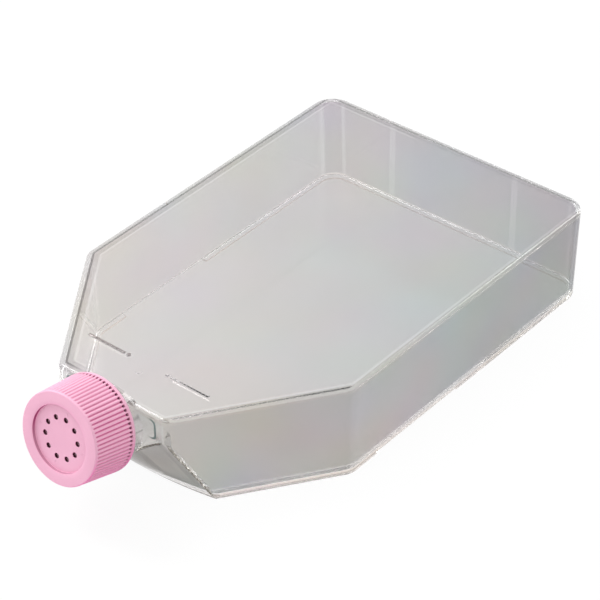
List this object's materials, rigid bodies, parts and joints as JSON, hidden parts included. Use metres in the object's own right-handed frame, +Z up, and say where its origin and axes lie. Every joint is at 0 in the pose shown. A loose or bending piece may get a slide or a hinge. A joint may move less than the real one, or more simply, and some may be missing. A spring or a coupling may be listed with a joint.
{
  "type": "cell culture flask",
  "caption": "Flat rectangular culture flask with a canted neck and a vented screw cap, for growing a layer of cells on its base.",
  "frame": {"origin": "on the bench, under the middle of the overall width and length", "axes": "+Z up, the neck points to -Y, +X to the right seen from the neck end"},
  "size_m": [0.12, 0.2122, 0.0483],
  "materials": {
    "clear_shell": "clear, moulded, polished",
    "clear_base": "clear, moulded, polished",
    "cap_pink": "satin, moulded",
    "filter_white": "fine porous film"
  },
  "bodies": {
    "flask": {"flask_body": "clear_shell", "base_plate": "clear_base"},
    "vent_carrier": {"vent_membrane": "filter_white"},
    "cap": {"screw_cap": "cap_pink"}
  },
  "joints": [
    {"name": "cap_travel", "type": "slide", "parent": "flask", "child": "vent_carrier", "axis": [0, -0.9748, 0.2233], "range_m": [0, 0.028]},
    {"name": "cap_turn", "type": "hinge", "parent": "vent_carrier", "child": "cap", "pos_m": [0, -0.07843, 0.0271], "axis": [0, -0.9748, 0.2233], "range_deg": [0, 540]}
  ],
  "couplings": [
    {"joint": "cap_travel", "follows": "cap_turn", "m_per_rad": 0.0029709}
  ]
}
